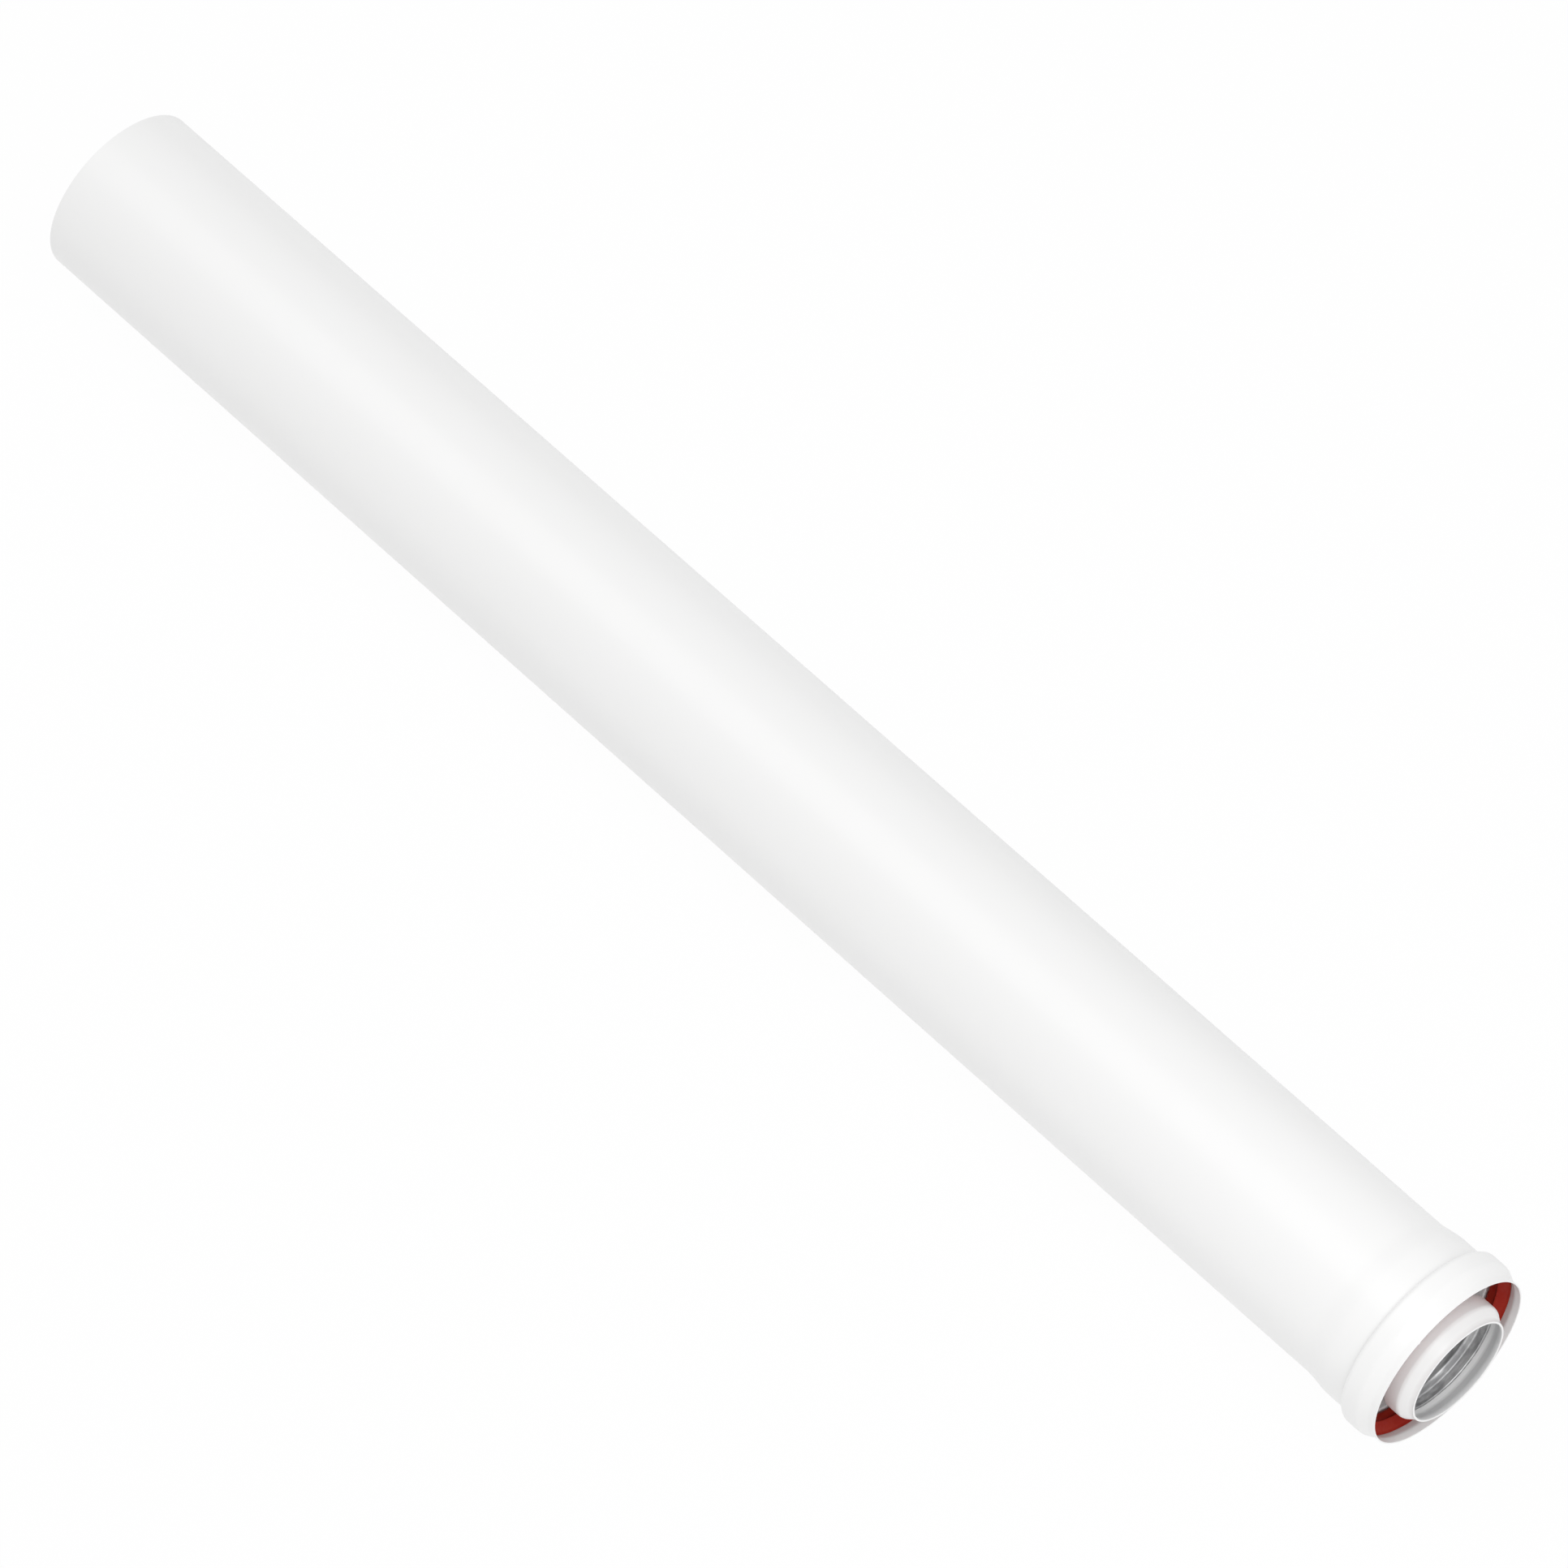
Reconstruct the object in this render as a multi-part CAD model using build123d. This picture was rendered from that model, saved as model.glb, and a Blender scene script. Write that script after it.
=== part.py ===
"""Coaxial flue extension, 60/100 mm, one metre long, with a socket at one end and plain spigots at the other.

Units are millimetres. The flue's axis runs along X with the socket towards +X, and the piece lies on
its side on z = 0. A "back" is a distance along a tube, counted back from that tube's own socket mouth.
"""
from build123d import *
from types import SimpleNamespace
import os

LENGTH = 1000.0

# Air duct, the outer tube; its radii are of its outside
OUTER = SimpleNamespace(
    radius=50.0,
    wall=0.8,
    flare_back=50.0,
    sleeve_back=38.5,
    sleeve_radius=51.8,
    crease_back=22.3,
    crest_back=21.9,
    crest_radius=55.5,
    crest_front=10.3,
    lip_back=4.1,
    lip_radius=52.35,
    bends=[3.4, 6.0],
)

# Flue duct, the inner tube, cut to the same length and set a little ahead of the outer one
INNER_LEAD = 7.5
INNER = SimpleNamespace(
    radius=30.0,
    wall=1.2,
    flare_back=52.0,
    sleeve_back=43.0,
    sleeve_radius=32.0,
    crease_back=18.6,
    crest_back=17.6,
    crest_radius=36.2,
    crest_front=7.4,
    lip_back=1.9,
    lip_radius=32.2,
    bends=[2.2, 1.8],
)

# Silicone seal in the outer bead, placed from the outer mouth
SEAL_FRONT = 7.8
SEAL_LIP_BACK = 14.2
SEAL_LIP_RADIUS = 49.5
SEAL_HOLLOW_RADIUS = 50.6
SEAL_BACK = 20.4

# Spring spacers between the two tubes, placed from the outer mouth
SPACER_STRIP = 0.8
SPACER_WIDTH = 14.0
SPACER_LEGS = 4
SPACER_FOOT_WIDTH = 13.0
SPACER_CREST_WIDTH = 10.0
SPACER_BACKS = (200.0, 820.0)

# The origin is on the floor, under the middle of the whole length
AXIS_HEIGHT = OUTER.crest_radius
MOUTH_X = (LENGTH - INNER_LEAD) / 2


def outline(tube):
    """Outside of a tube in half section: plain run, flare, sleeve, sharp crease, rounded bead and short lip."""
    crease = (-tube.crease_back, tube.sleeve_radius)
    lip_root = (-tube.lip_back, tube.lip_radius)
    plain = Polyline(
        (-LENGTH, tube.radius),
        (-tube.flare_back, tube.radius),
        (-tube.sleeve_back, tube.sleeve_radius),
        crease,
    )
    bead = FilletPolyline(
        crease,
        (-tube.crest_back, tube.crest_radius),
        (-tube.crest_front, tube.crest_radius),
        lip_root,
        radius=tube.bends,
    )
    lip = Line(lip_root, (0.0, tube.lip_radius))
    return Wire(plain.edges() + bead.edges() + lip.edges())


def inside(tube):
    """The line of a tube's inside, one wall below the line of its outside."""
    return offset(outline(tube), amount=tube.wall, side=Side.RIGHT, kind=Kind.INTERSECTION, closed=False)


def drawn_tube(tube):
    """A tube of one wall thickness, spun from its half section."""
    outer_line = outline(tube)
    inner_line = inside(tube)
    ends = [Line(outer_line @ end, inner_line @ end).edge() for end in (0, 1)]
    section = make_face(outer_line.edges() + inner_line.edges() + ends)
    return revolve(section, Axis.X, 360)


def seal():
    """Lip seal: its back fills the outer bead, its lip slopes inwards, and a hollow lies behind the lip.

    The side in the bead follows the chords of the bead's bends, so it touches the metal and cuts nowhere into it.
    """
    knots = sorted((point.X, point.Y) for point in inside(OUTER).vertices())
    room = make_face(Polyline(*knots, (knots[-1][0], 0), (knots[0][0], 0), close=True))
    profile = Polyline(
        (-SEAL_FRONT, OUTER.crest_radius),
        (-SEAL_FRONT, OUTER.lip_radius),
        (-SEAL_LIP_BACK, SEAL_LIP_RADIUS),
        (-SEAL_LIP_BACK, SEAL_HOLLOW_RADIUS),
        (-SEAL_BACK, SEAL_HOLLOW_RADIUS),
        (-SEAL_BACK, OUTER.crest_radius),
        close=True,
    )
    return revolve(make_face(profile) & room, Axis.X, 360)


def spacer():
    """Strip-metal clip round the inner tube, with hollow legs that press on the outer tube's wall."""
    ring_outside = INNER.radius + SPACER_STRIP
    crest = OUTER.radius - OUTER.wall
    foot = SPACER_FOOT_WIDTH / 2
    top = SPACER_CREST_WIDTH / 2
    leg = make_face(Polyline((0, -foot), (crest, -top), (crest, top), (0, foot), close=True)) & Circle(crest)
    hollow = offset(leg, amount=-SPACER_STRIP, kind=Kind.INTERSECTION) - Circle(ring_outside)
    clip = Circle(ring_outside)
    for number in range(SPACER_LEGS):
        turn = Rot(0, 0, (number + 0.5) * 360 / SPACER_LEGS)
        clip += turn * leg
        clip -= turn * hollow
    clip -= Circle(INNER.radius)
    return extrude(Plane.YZ * clip, amount=SPACER_WIDTH / 2, both=True)


def placed(shape, ahead=0.0):
    """Moves a shape from the outer mouth's frame, or that far ahead of it, to the flue's place on the floor."""
    return Pos(MOUTH_X + ahead, 0, AXIS_HEIGHT) * shape


nodes = {
    "outer_tube": placed(drawn_tube(OUTER)),
    "inner_tube": placed(drawn_tube(INNER), INNER_LEAD),
    "outer_socket_seal": placed(seal()),
}
for number, back in enumerate(SPACER_BACKS, start=1):
    nodes[f"centring_spacer_{number}"] = placed(spacer(), -back)

os.makedirs("parts", exist_ok=True)
for name, solid in nodes.items():
    export_step(solid, f"parts/{name}.step")
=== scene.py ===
"""Looks of a 60/100 coaxial flue extension, lying on a pale studio floor. All lengths are in metres."""
from math import cos, hypot, radians, sin, tan, tau

import bmesh
import bpy
from mathutils import Matrix, Vector, noise


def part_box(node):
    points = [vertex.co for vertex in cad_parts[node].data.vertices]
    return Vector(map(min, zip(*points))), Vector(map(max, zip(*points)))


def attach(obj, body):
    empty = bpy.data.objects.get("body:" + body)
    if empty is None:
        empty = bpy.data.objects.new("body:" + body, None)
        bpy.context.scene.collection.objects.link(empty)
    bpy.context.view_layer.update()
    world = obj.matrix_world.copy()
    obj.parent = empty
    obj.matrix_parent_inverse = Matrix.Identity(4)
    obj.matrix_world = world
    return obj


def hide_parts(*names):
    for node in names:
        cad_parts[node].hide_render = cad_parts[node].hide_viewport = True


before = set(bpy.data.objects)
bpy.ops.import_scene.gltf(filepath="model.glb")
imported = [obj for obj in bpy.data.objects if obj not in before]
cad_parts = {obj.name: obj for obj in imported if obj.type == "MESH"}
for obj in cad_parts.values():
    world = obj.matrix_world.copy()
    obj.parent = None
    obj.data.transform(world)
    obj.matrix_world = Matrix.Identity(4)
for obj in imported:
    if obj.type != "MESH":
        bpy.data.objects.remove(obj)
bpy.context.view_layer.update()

# The flue's own line: every round piece is turned about this axis, which runs along X.
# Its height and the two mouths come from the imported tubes.
mm = 0.001
outer_low, outer_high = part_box("outer_tube")
axis_height = (outer_low[2] + outer_high[2]) / 2
outer_mouth = outer_high[0]
inner_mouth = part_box("inner_tube")[1][0]
tube_length = outer_high[0] - outer_low[0]

# The camera stands well back and looks down on the tube, socket end nearest, with a long lens.
# It keeps the horizon level and has no shift.
camera_azimuth = radians(46.53)
camera_elevation = radians(56.82)
camera_distance = 6.190
camera_aim = Vector((0.0155, -0.0031, axis_height))
camera_back = Vector((
    sin(camera_azimuth) * cos(camera_elevation),
    -cos(camera_azimuth) * cos(camera_elevation),
    sin(camera_elevation),
))
camera_data = bpy.data.cameras.new("studio_camera")
camera_data.lens = 274.7
camera_data.sensor_width = 36.0
camera_data.clip_start = 0.1
camera_data.clip_end = 50.0
camera = bpy.data.objects.new("studio_camera", camera_data)
camera.location = camera_aim + camera_back * camera_distance
camera.rotation_euler = (-camera_back).to_track_quat("-Z", "Y").to_euler()
bpy.context.scene.collection.objects.link(camera)
bpy.context.scene.camera = camera

# Studio: a pale floor that runs on past the picture, in a white room, with one soft box over the mouth
# and a long one over the spigot half. The floor shows as white paper with the tube's faint soft shadow,
# and lights the tube as pale paper would.
floor_size = 30.0
floor_white_share = 0.97
floor_mesh = bmesh.new()
bmesh.ops.create_grid(floor_mesh, x_segments=1, y_segments=1, size=floor_size / 2)
floor_data = bpy.data.meshes.new("studio_floor")
floor_mesh.to_mesh(floor_data)
floor_mesh.free()
floor = bpy.data.objects.new("studio_floor", floor_data)
bpy.context.scene.collection.objects.link(floor)

floor_finish = bpy.data.materials.new("floor_paper")
floor_finish.use_nodes = True
nodes, links = floor_finish.node_tree.nodes, floor_finish.node_tree.links
paper = nodes["Principled BSDF"]
paper.inputs["Base Color"].default_value = (0.9, 0.9, 0.9, 1)
paper.inputs["Roughness"].default_value = 0.9
white = nodes.new("ShaderNodeEmission")
white.inputs["Strength"].default_value = 1.0
rays = nodes.new("ShaderNodeLightPath")
seen = nodes.new("ShaderNodeMath")
seen.operation = "MAXIMUM"
links.new(rays.outputs["Is Camera Ray"], seen.inputs[0])
links.new(rays.outputs["Is Glossy Ray"], seen.inputs[1])
seen_through = nodes.new("ShaderNodeMath")
seen_through.operation = "MAXIMUM"
links.new(seen.outputs[0], seen_through.inputs[0])
links.new(rays.outputs["Is Transmission Ray"], seen_through.inputs[1])
share = nodes.new("ShaderNodeMath")
share.operation = "MULTIPLY"
share.inputs[1].default_value = floor_white_share
links.new(seen_through.outputs[0], share.inputs[0])
blend = nodes.new("ShaderNodeMixShader")
links.new(share.outputs[0], blend.inputs["Fac"])
links.new(paper.outputs["BSDF"], blend.inputs[1])
links.new(white.outputs["Emission"], blend.inputs[2])
links.new(blend.outputs["Shader"], nodes["Material Output"].inputs["Surface"])
floor_data.materials.append(floor_finish)

room = bpy.data.worlds.new("studio_room")
bpy.context.scene.world = room
room.use_nodes = True
room.node_tree.nodes["Background"].inputs["Color"].default_value = (1, 1, 1, 1)
room.node_tree.nodes["Background"].inputs["Strength"].default_value = 0.70


def soft_box(name, place, aim, width, depth, watts):
    """A rectangular lamp that faces its aim."""
    lamp = bpy.data.lights.new(name, "AREA")
    lamp.shape = "RECTANGLE"
    lamp.size = width
    lamp.size_y = depth
    lamp.energy = watts
    holder = bpy.data.objects.new(name, lamp)
    holder.location = place
    holder.rotation_euler = (Vector(aim) - Vector(place)).to_track_quat("-Z", "Y").to_euler()
    bpy.context.scene.collection.objects.link(holder)


soft_box("mouth_box", (1.02, -0.20, 0.87), (0.4925, 0, 0.05), 0.6, 0.7, 3.0)
soft_box("far_box", (-0.50, -0.22, 1.25), (-0.50, 0, 0.05), 1.4, 0.9, 3.8)

bpy.context.scene.view_settings.view_transform = "Standard"

# Outer tube: thin steel sheet, rolled, welded and drawn at one end into the socket with its round bead.
# It is powder-coated white. The coat runs over both rims and a little way inside, where it gives way
# to bare zinc.
outer_wall = 0.8 * mm
outer_corners = [
    (-tube_length, 50.0 * mm, 0),
    (-60.0 * mm, 50.0 * mm, 0),
    (-50.0 * mm, 50.0 * mm, 28.0 * mm),
    (-38.5 * mm, 51.8 * mm, 28.0 * mm),
    (-22.3 * mm, 51.8 * mm, 0.35 * mm),
    (-21.9 * mm, 55.5 * mm, 3.4 * mm),
    (-10.3 * mm, 55.5 * mm, 6.0 * mm),
    (-4.1 * mm, 52.35 * mm, 3.0 * mm),
    (0.0, 52.35 * mm, 0),
]
rim_round = 0.25 * mm


def bent_line(corners, segments=10):
    """A bmesh line through (station, radius, bend) corners in half section, each bent to its radius."""
    line = bmesh.new()
    points = [line.verts.new((station, 0, radius)) for station, radius, bend in corners]
    for start, end in zip(points, points[1:]):
        line.edges.new((start, end))
    for i, (station, radius, bend) in enumerate(corners):
        if bend:
            before = Vector(corners[i][:2]) - Vector(corners[i - 1][:2])
            after = Vector(corners[i + 1][:2]) - Vector(corners[i][:2])
            bmesh.ops.bevel(
                line, geom=[points[i]], affect="VERTICES", offset_type="OFFSET",
                offset=bend * tan(before.angle(after) / 2), segments=segments, profile=0.5, material=-1,
            )
    return line


def spin_shell(line, wall, rim, steps=288):
    """Spins a line about X into a shell of one wall thickness, with its two rims rounded over."""
    bmesh.ops.spin(
        line, geom=line.verts[:] + line.edges[:], cent=(0, 0, 0), axis=(1, 0, 0), dvec=(0, 0, 0),
        angle=tau, steps=steps, use_merge=True,
    )
    bmesh.ops.remove_doubles(line, verts=line.verts, dist=0.001 * mm)
    bmesh.ops.recalc_face_normals(line, faces=line.faces)
    bmesh.ops.solidify(line, geom=line.faces[:], thickness=wall)
    line.normal_update()
    rims = [edge for edge in line.edges if edge.calc_face_angle(0) > radians(80)
            and abs(edge.verts[0].co.x - edge.verts[1].co.x) < 0.001 * mm]
    stations = [vert.co.x for vert in line.verts]
    ends = {round(station, 6) for station in (min(stations), max(stations))}
    rims = [edge for edge in rims if round(edge.verts[0].co.x, 6) in ends]
    bmesh.ops.bevel(
        line, geom=rims, affect="EDGES", offset_type="OFFSET", offset=rim,
        segments=3, profile=0.5, material=-1,
    )
    return line


def as_piece(name, shape, mouth, materials, sharp=radians(40)):
    """Puts a shape on the flue's axis, its station 0 at the mouth, as a smooth-shaded object."""
    bmesh.ops.translate(shape, verts=shape.verts, vec=(mouth, 0, axis_height))
    for edge in shape.edges:
        edge.smooth = edge.calc_face_angle(0) < sharp
    for face in shape.faces:
        face.smooth = True
    mesh = bpy.data.meshes.new(name)
    shape.to_mesh(mesh)
    shape.free()
    for material in materials:
        mesh.materials.append(material)
    piece = bpy.data.objects.new(name, mesh)
    bpy.context.scene.collection.objects.link(piece)
    weights = piece.modifiers.new("even_normals", "WEIGHTED_NORMAL")
    weights.keep_sharp = True
    return piece


def line_inside(shape, slot):
    """Gives the faces that look towards the axis a material slot of their own."""
    for face in shape.faces:
        middle = face.calc_center_median()
        if face.normal.dot(Vector((0, middle.y, middle.z)).normalized()) < -0.2:
            face.material_index = slot


def new_finish(name):
    """A material with its node tree and its shader."""
    finish = bpy.data.materials.new(name)
    finish.use_nodes = True
    return finish, finish.node_tree, finish.node_tree.nodes["Principled BSDF"]


def feed(tree, socket, value):
    """Gives a node's socket a link or a plain value."""
    if isinstance(value, bpy.types.NodeSocket):
        tree.links.new(value, socket)
    else:
        socket.default_value = value


def work_out(tree, operation, first, second=0.0):
    """One step of arithmetic on links or numbers."""
    step = tree.nodes.new("ShaderNodeMath")
    step.operation = operation
    feed(tree, step.inputs[0], first)
    feed(tree, step.inputs[1], second)
    return step.outputs[0]


def graded(tree, value, low, high, start, end):
    """Turns a value that runs from low to high into one that eases from start to end."""
    ramp = tree.nodes.new("ShaderNodeMapRange")
    ramp.interpolation_type = "SMOOTHSTEP"
    feed(tree, ramp.inputs["Value"], value)
    for name, number in zip(("From Min", "From Max", "To Min", "To Max"), (low, high, start, end)):
        ramp.inputs[name].default_value = number
    return ramp.outputs["Result"]


def mottle(tree, scale, detail=2.0, around=1.0):
    """Noise in the piece's own space; around under 1 draws it out into rings about the tube."""
    place = tree.nodes.new("ShaderNodeTexCoord")
    stretch = tree.nodes.new("ShaderNodeMapping")
    stretch.inputs["Location"].default_value = (0, 0, -axis_height * around)
    stretch.inputs["Scale"].default_value = (1, around, around)
    grain = tree.nodes.new("ShaderNodeTexNoise")
    grain.inputs["Scale"].default_value = scale
    grain.inputs["Detail"].default_value = detail
    tree.links.new(place.outputs["Object"], stretch.inputs["Vector"])
    tree.links.new(stretch.outputs["Vector"], grain.inputs["Vector"])
    return grain.outputs["Fac"]


def colour_between(tree, share, first, second):
    """A colour mixed from two colours or links."""
    mix = tree.nodes.new("ShaderNodeMix")
    mix.data_type = "RGBA"
    feed(tree, mix.inputs[0], share)
    feed(tree, mix.inputs[6], first)
    feed(tree, mix.inputs[7], second)
    return mix.outputs[2]


def raise_skin(tree, shader, height):
    """Lifts a surface by a height in millimetres."""
    skin = tree.nodes.new("ShaderNodeBump")
    skin.inputs["Strength"].default_value = 1.0
    skin.inputs["Distance"].default_value = mm
    tree.links.new(height, skin.inputs["Height"])
    tree.links.new(skin.outputs["Normal"], shader.inputs["Normal"])


coat_colour = (0.95, 0.95, 0.95, 1)
coat_shade = (0.94, 0.94, 0.935, 1)
coat_peel_depth = 0.012
white_coat, tree, shader = new_finish("white_powder_coat")
feed(tree, shader.inputs["Base Color"], colour_between(tree, mottle(tree, 14, 4), coat_colour, coat_shade))
feed(tree, shader.inputs["Roughness"], graded(tree, mottle(tree, 60, 3), 0.3, 0.7, 0.285, 0.34))
peel = work_out(tree, "ADD", mottle(tree, 420), work_out(tree, "MULTIPLY", mottle(tree, 1500), 0.3))
raise_skin(tree, shader, work_out(tree, "MULTIPLY", peel, coat_peel_depth))


def part_coated(name, mouth, coat_back, ragged, metal_dark, metal_light, roughness, ridge_back=None):
    """The inside of a tube: coat near both ends, where the spray reaches in, and bare metal between."""
    finish, tree, shader = new_finish(name)
    place = tree.nodes.new("ShaderNodeTexCoord")
    along = tree.nodes.new("ShaderNodeSeparateXYZ")
    tree.links.new(place.outputs["Object"], along.inputs[0])
    behind_mouth = work_out(tree, "SUBTRACT", mouth, along.outputs["X"])
    before_spigot = work_out(tree, "SUBTRACT", tube_length, behind_mouth)
    depth = work_out(tree, "MINIMUM", behind_mouth, before_spigot)
    wander = work_out(tree, "ADD", mottle(tree, 90, 3), work_out(tree, "MULTIPLY", mottle(tree, 900, 2), 0.3))
    edge = work_out(tree, "MULTIPLY", work_out(tree, "SUBTRACT", wander, 0.65), ragged)
    reach = work_out(tree, "ADD", depth, edge)
    bare = graded(tree, reach, coat_back - ragged * 0.1, coat_back + ragged * 0.1, 0, 1)
    # Specks of coat lie on the bare metal just past the coat's edge. Towards -Y they are made denser as a
    # painted highlight, lightening the metal where the groove's face catches the light.
    specks_and_painted_light = work_out(
        tree, "MULTIPLY", graded(tree, mottle(tree, 1300, 3), 0.54, 0.62, 0, 0.7),
        graded(tree, reach, coat_back, coat_back + ragged * 2, 1, 0),
    )
    specks_and_painted_light = work_out(tree, "MULTIPLY", specks_and_painted_light, graded(tree, along.outputs["Y"], -5 * mm, -25 * mm, 0.1, 1))
    bare = work_out(tree, "MULTIPLY", bare, work_out(tree, "SUBTRACT", 1.0, specks_and_painted_light))

    rings = mottle(tree, 1400, 3, around=0.02)
    patches = mottle(tree, 260, 4, around=0.4)
    metal = colour_between(tree, graded(tree, patches, 0.35, 0.65, 0, 1), metal_dark, metal_light)
    feed(tree, shader.inputs["Base Color"], colour_between(tree, bare, coat_colour, metal))
    feed(tree, shader.inputs["Metallic"], bare)
    worn = work_out(tree, "MULTIPLY", bare, graded(tree, rings, 0.3, 0.7, roughness - 0.43, roughness - 0.23))
    feed(tree, shader.inputs["Roughness"], work_out(tree, "ADD", worn, 0.33))
    relief = work_out(tree, "MULTIPLY", work_out(tree, "ADD", rings, patches), 0.03)
    if ridge_back:
        ridge = graded(tree, behind_mouth, ridge_back, ridge_back + 0.8 * mm, 0, 0.3)
        relief = work_out(tree, "ADD", relief, ridge)
    raise_skin(tree, shader, work_out(tree, "MULTIPLY", relief, bare))
    return finish


outer_shape = spin_shell(bent_line(outer_corners), outer_wall, rim_round)
line_inside(outer_shape, 1)
zinc_inside = part_coated(
    "zinc_coated_inside", outer_mouth, coat_back=70 * mm, ragged=6 * mm,
    metal_dark=(0.42, 0.43, 0.44, 1), metal_light=(0.55, 0.56, 0.57, 1), roughness=0.5,
)
outer_piece = as_piece("outer_tube_coated", outer_shape, outer_mouth, [white_coat, zinc_inside])
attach(outer_piece, "root")
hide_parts("outer_tube")

# Drop of powder coat that baked hard on the outer rim, a little way round from the top. It hangs
# slightly over the rim's inner edge.
drop_turn = radians(26.8)
drop_radius = 51.45 * mm
drop_back = 0.2 * mm
drop_size = Vector((0.9, 1.7, 0.9)) * mm
drop_unevenness = 0.1 * mm
drop_seed = 1
drop_shape = bmesh.new()
bmesh.ops.create_icosphere(drop_shape, subdivisions=4, radius=0.5)
bmesh.ops.scale(drop_shape, verts=drop_shape.verts, vec=drop_size)
# Without a seed this noise starts from the clock, and the drop would differ in each run.
noise.seed_set(drop_seed)
for vert in drop_shape.verts:
    vert.co += drop_unevenness * noise.noise_vector(vert.co / (0.8 * mm))
bmesh.ops.translate(drop_shape, verts=drop_shape.verts, vec=(-drop_back, 0, drop_radius))
bmesh.ops.rotate(
    drop_shape, verts=drop_shape.verts, cent=(0, 0, 0), matrix=Matrix.Rotation(drop_turn, 3, "X"),
)
drop_piece = as_piece("coat_drop", drop_shape, outer_mouth, [white_coat])
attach(drop_piece, "root")

# Inner tube: thicker aluminium tube, drawn at one end into its own socket with a seal groove, a little
# ahead of the outer one. Its outside is coated like the outer tube. Inside, the coat reaches past the lip
# and over the groove's front.
inner_wall = 1.2 * mm
inner_rim_round = 0.4 * mm
inner_corners = [
    (-tube_length, 30.0 * mm, 0),
    (-62.0 * mm, 30.0 * mm, 0),
    (-52.0 * mm, 30.0 * mm, 28.0 * mm),
    (-43.0 * mm, 32.0 * mm, 28.0 * mm),
    (-18.6 * mm, 32.0 * mm, 0.35 * mm),
    (-17.6 * mm, 36.2 * mm, 2.2 * mm),
    (-7.4 * mm, 36.2 * mm, 4.0 * mm),
    (-1.9 * mm, 32.2 * mm, 4.4 * mm),
    (0.0, 32.2 * mm, 0),
]
inner_shape = spin_shell(bent_line(inner_corners), inner_wall, inner_rim_round)
line_inside(inner_shape, 1)
bare_inside = part_coated(
    "aluminium_coated_inside", inner_mouth, coat_back=10.8 * mm, ragged=1.1 * mm,
    metal_dark=(0.50, 0.50, 0.51, 1), metal_light=(0.84, 0.84, 0.84, 1), roughness=0.55,
    ridge_back=11.3 * mm,
)
inner_piece = as_piece("inner_tube_formed", inner_shape, inner_mouth, [white_coat, bare_inside])
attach(inner_piece, "root")
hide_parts("inner_tube")

# Lip seal: moulded red silicone, pushed into the outer bead. Its back fills the bead, its lip slopes in
# and back to a rounded tip that wipes the next pipe, and a hollow behind the tip lets the lip bend.
seal_corners = [
    (-7.8 * mm, 53.2 * mm, 0.3 * mm),
    (-9.4 * mm, 52.75 * mm, 1.5 * mm),
    (-14.2 * mm, 49.5 * mm, 0.45 * mm),
    (-14.9 * mm, 50.2 * mm, 0.3 * mm),
    (-14.6 * mm, 51.0 * mm, 0.5 * mm),
    (-19.4 * mm, 50.8 * mm, 0.4 * mm),
    (-20.4 * mm, 51.6 * mm, 0.5 * mm),
    (-20.8 * mm, 54.4 * mm, 1.0 * mm),
    (-10.9 * mm, 54.4 * mm, 1.5 * mm),
    (-9.0 * mm, 53.7 * mm, 0.4 * mm),
]


def closed_section(corners, segments=6):
    """A closed bmesh line through (station, radius, bend) corners, each bent to its radius."""
    section = bmesh.new()
    points = [section.verts.new((station, 0, radius)) for station, radius, bend in corners]
    for i, point in enumerate(points):
        section.edges.new((points[i - 1], point))
    for i, (station, radius, bend) in enumerate(corners):
        before = Vector(corners[i][:2]) - Vector(corners[i - 1][:2])
        after = Vector(corners[(i + 1) % len(corners)][:2]) - Vector(corners[i][:2])
        bmesh.ops.bevel(
            section, geom=[points[i]], affect="VERTICES", offset_type="OFFSET",
            offset=bend * tan(before.angle(after) / 2), segments=segments, profile=0.5, material=-1,
        )
    return section


seal_shape = closed_section(seal_corners)
bmesh.ops.spin(
    seal_shape, geom=seal_shape.verts[:] + seal_shape.edges[:], cent=(0, 0, 0), axis=(1, 0, 0),
    dvec=(0, 0, 0), angle=tau, steps=288, use_merge=True,
)
bmesh.ops.remove_doubles(seal_shape, verts=seal_shape.verts, dist=0.001 * mm)
bmesh.ops.recalc_face_normals(seal_shape, faces=seal_shape.faces)

silicone, tree, shader = new_finish("red_silicone")
dusty = graded(tree, mottle(tree, 160, 4, around=0.3), 0.35, 0.7, 0, 1)
silicone_colour = colour_between(tree, dusty, (0.36, 0.012, 0.003, 1), (0.40, 0.024, 0.009, 1))
feed(tree, shader.inputs["Base Color"], silicone_colour)
feed(tree, shader.inputs["Roughness"], graded(tree, mottle(tree, 500, 3), 0.3, 0.7, 0.5, 0.65))
shader.inputs["IOR"].default_value = 1.41
shader.inputs["Specular IOR Level"].default_value = 0.3
raise_skin(tree, shader, work_out(tree, "MULTIPLY", mottle(tree, 2200, 3), 0.015))
seal_piece = as_piece("lip_seal", seal_shape, outer_mouth, [silicone])
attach(seal_piece, "root")
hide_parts("outer_socket_seal")

# Centring spacers: clips of spring strip round the inner tube, each with four hollow legs that press on
# the outer tube's wall. The strip is cut and folded, so its bends are rounded and its edges only deburred.
strip = 0.8 * mm
strip_width = 14.0 * mm
strip_deburr = 0.12 * mm
leg_count = 4
leg_foot = 6.5 * mm
leg_crest = 5.0 * mm
leg_bend = 1.6 * mm
ring_outside = 30.0 * mm + strip
wall_inside = 50.0 * mm - outer_wall

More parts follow.
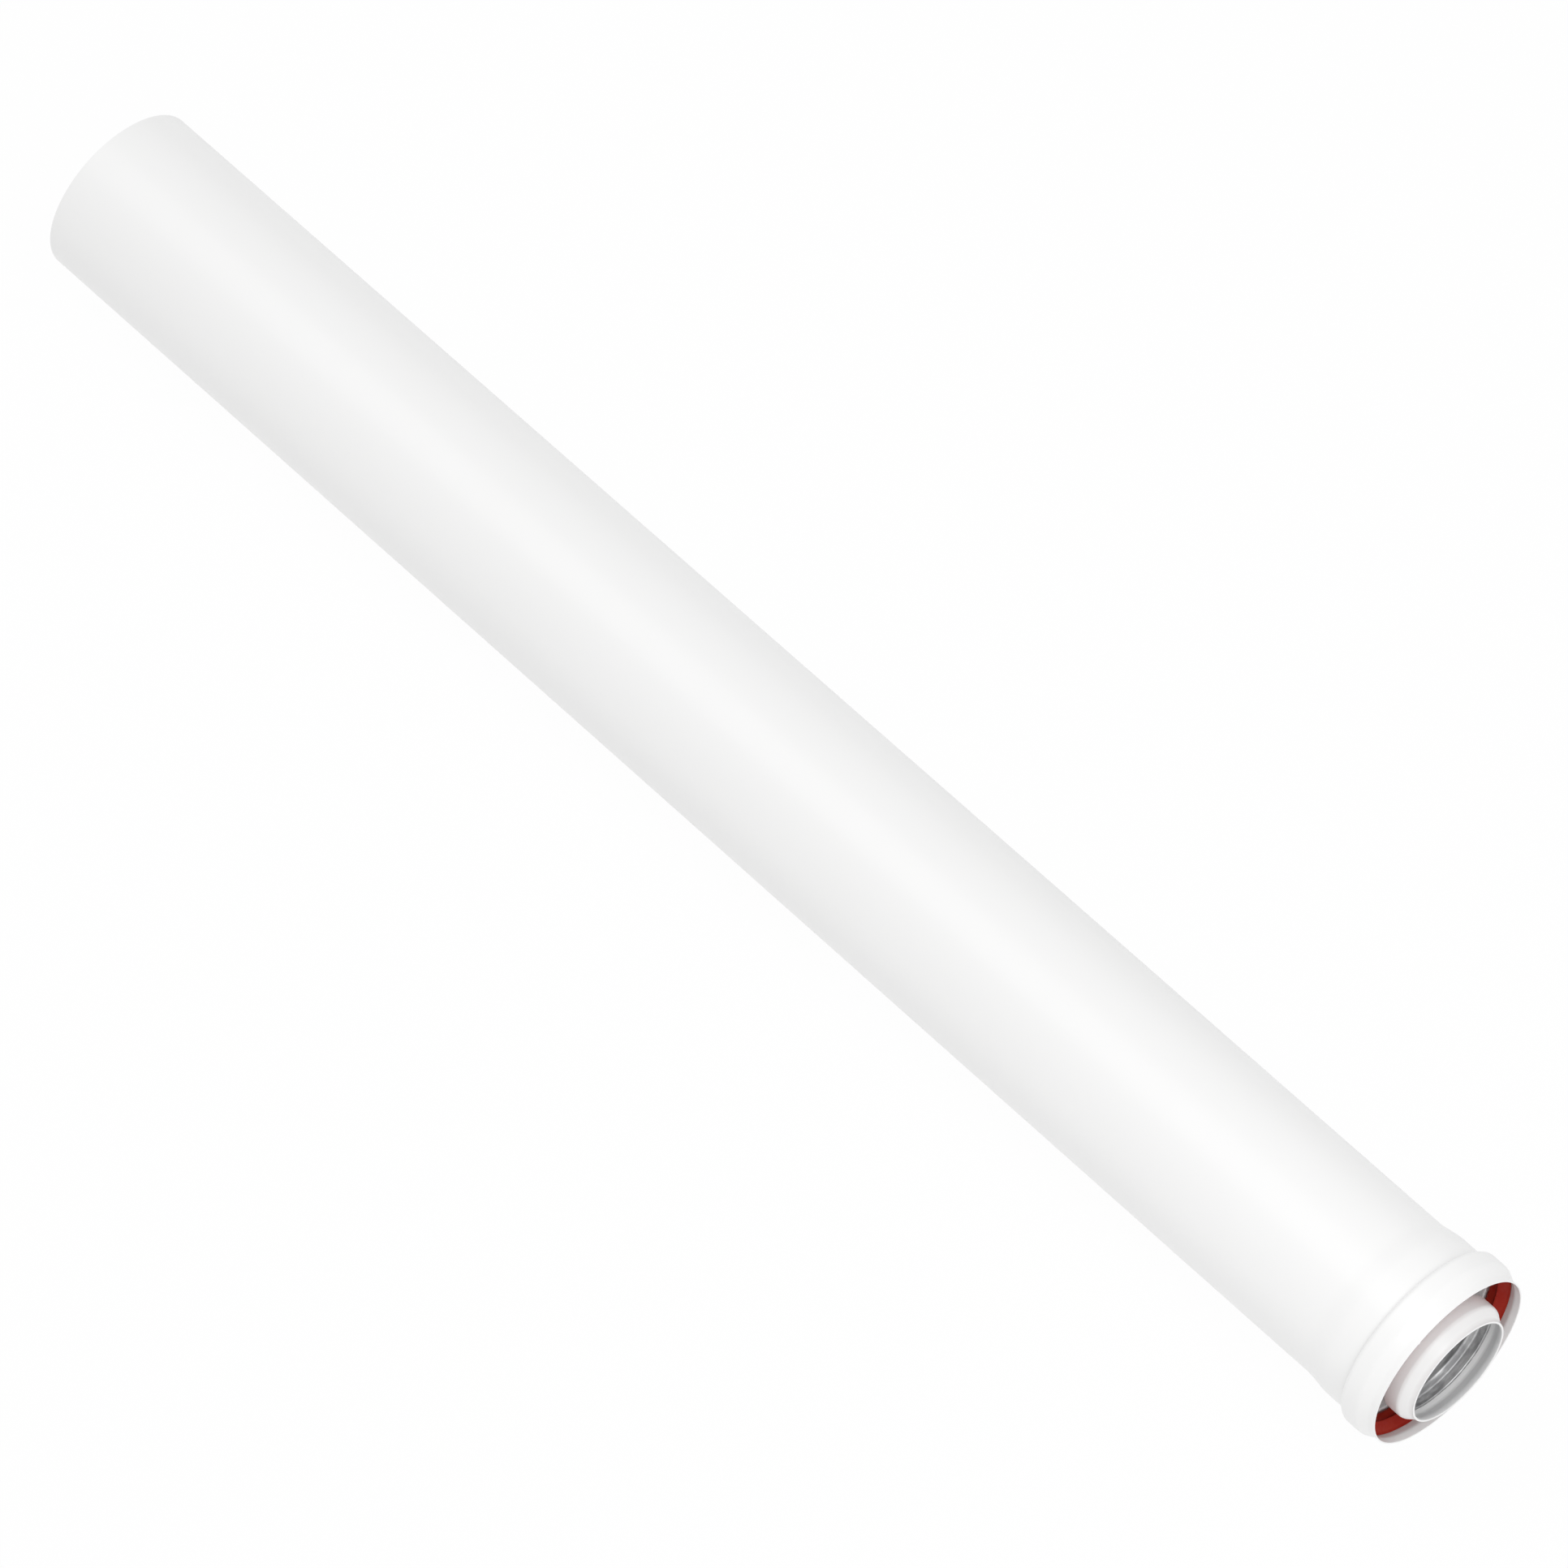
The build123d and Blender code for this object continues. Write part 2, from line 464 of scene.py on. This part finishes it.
spring_steel, tree, shader = new_finish("spring_strip_steel")
roll_marks = mottle(tree, 900, 3, around=0.08)
steel_colour = colour_between(tree, roll_marks, (0.46, 0.46, 0.45, 1), (0.66, 0.66, 0.65, 1))
feed(tree, shader.inputs["Base Color"], steel_colour)
shader.inputs["Metallic"].default_value = 1
feed(tree, shader.inputs["Roughness"], graded(tree, roll_marks, 0.3, 0.7, 0.24, 0.42))
raise_skin(tree, shader, work_out(tree, "MULTIPLY", roll_marks, 0.01))


def folded_leg(turn):
    """One hollow leg, its crest lying along the outer tube's wall."""
    corners = [
        (-leg_foot, ring_outside - strip / 2, 0),
        (-leg_crest, wall_inside, leg_bend),
        (leg_crest, wall_inside, leg_bend),
        (leg_foot, ring_outside - strip / 2, 0),
    ]
    leg = bent_line(corners, segments=6)
    top = max(vert.co.z for vert in leg.verts)
    crest = [edge for edge in leg.edges if min(vert.co.z for vert in edge.verts) > top - 0.001 * mm]
    bmesh.ops.subdivide_edges(leg, edges=crest, cuts=7)
    for vert in leg.verts:
        over = hypot(vert.co.x, vert.co.z) - wall_inside
        vert.co.z -= max(over, 0)
    bmesh.ops.rotate(leg, verts=leg.verts, cent=(0, 0, 0), matrix=Matrix.Rotation(radians(90), 3, "Z"))
    side = bmesh.ops.extrude_edge_only(leg, edges=leg.edges[:])
    side_verts = [part for part in side["geom"] if isinstance(part, bmesh.types.BMVert)]
    bmesh.ops.translate(leg, verts=side_verts, vec=(strip_width, 0, 0))
    bmesh.ops.translate(leg, verts=leg.verts, vec=(-strip_width / 2, 0, 0))
    bmesh.ops.recalc_face_normals(leg, faces=leg.faces)
    middle = max(leg.faces, key=lambda face: face.calc_center_median().z)
    if middle.normal.z < 0:
        bmesh.ops.reverse_faces(leg, faces=leg.faces)
    bmesh.ops.solidify(leg, geom=leg.faces[:], thickness=strip)
    bmesh.ops.rotate(leg, verts=leg.verts, cent=(0, 0, 0), matrix=Matrix.Rotation(turn, 3, "X"))
    return leg


def spacer_clip():
    """The ring and its legs, as one shape about station 0."""
    ends = [(-strip_width / 2, ring_outside, 0), (strip_width / 2, ring_outside, 0)]
    clip = spin_shell(bent_line(ends), strip, strip_deburr, steps=144)
    for number in range(leg_count):
        leg = folded_leg((number + 0.5) * tau / leg_count)
        leg_mesh = bpy.data.meshes.new("spacer_leg")
        leg.to_mesh(leg_mesh)
        leg.free()
        clip.from_mesh(leg_mesh)
        bpy.data.meshes.remove(leg_mesh)
    return clip


for node in ("centring_spacer_1", "centring_spacer_2"):
    low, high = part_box(node)
    clip_piece = as_piece(node + "_strip", spacer_clip(), (low[0] + high[0]) / 2, [spring_steel])
    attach(clip_piece, "root")
    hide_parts(node)
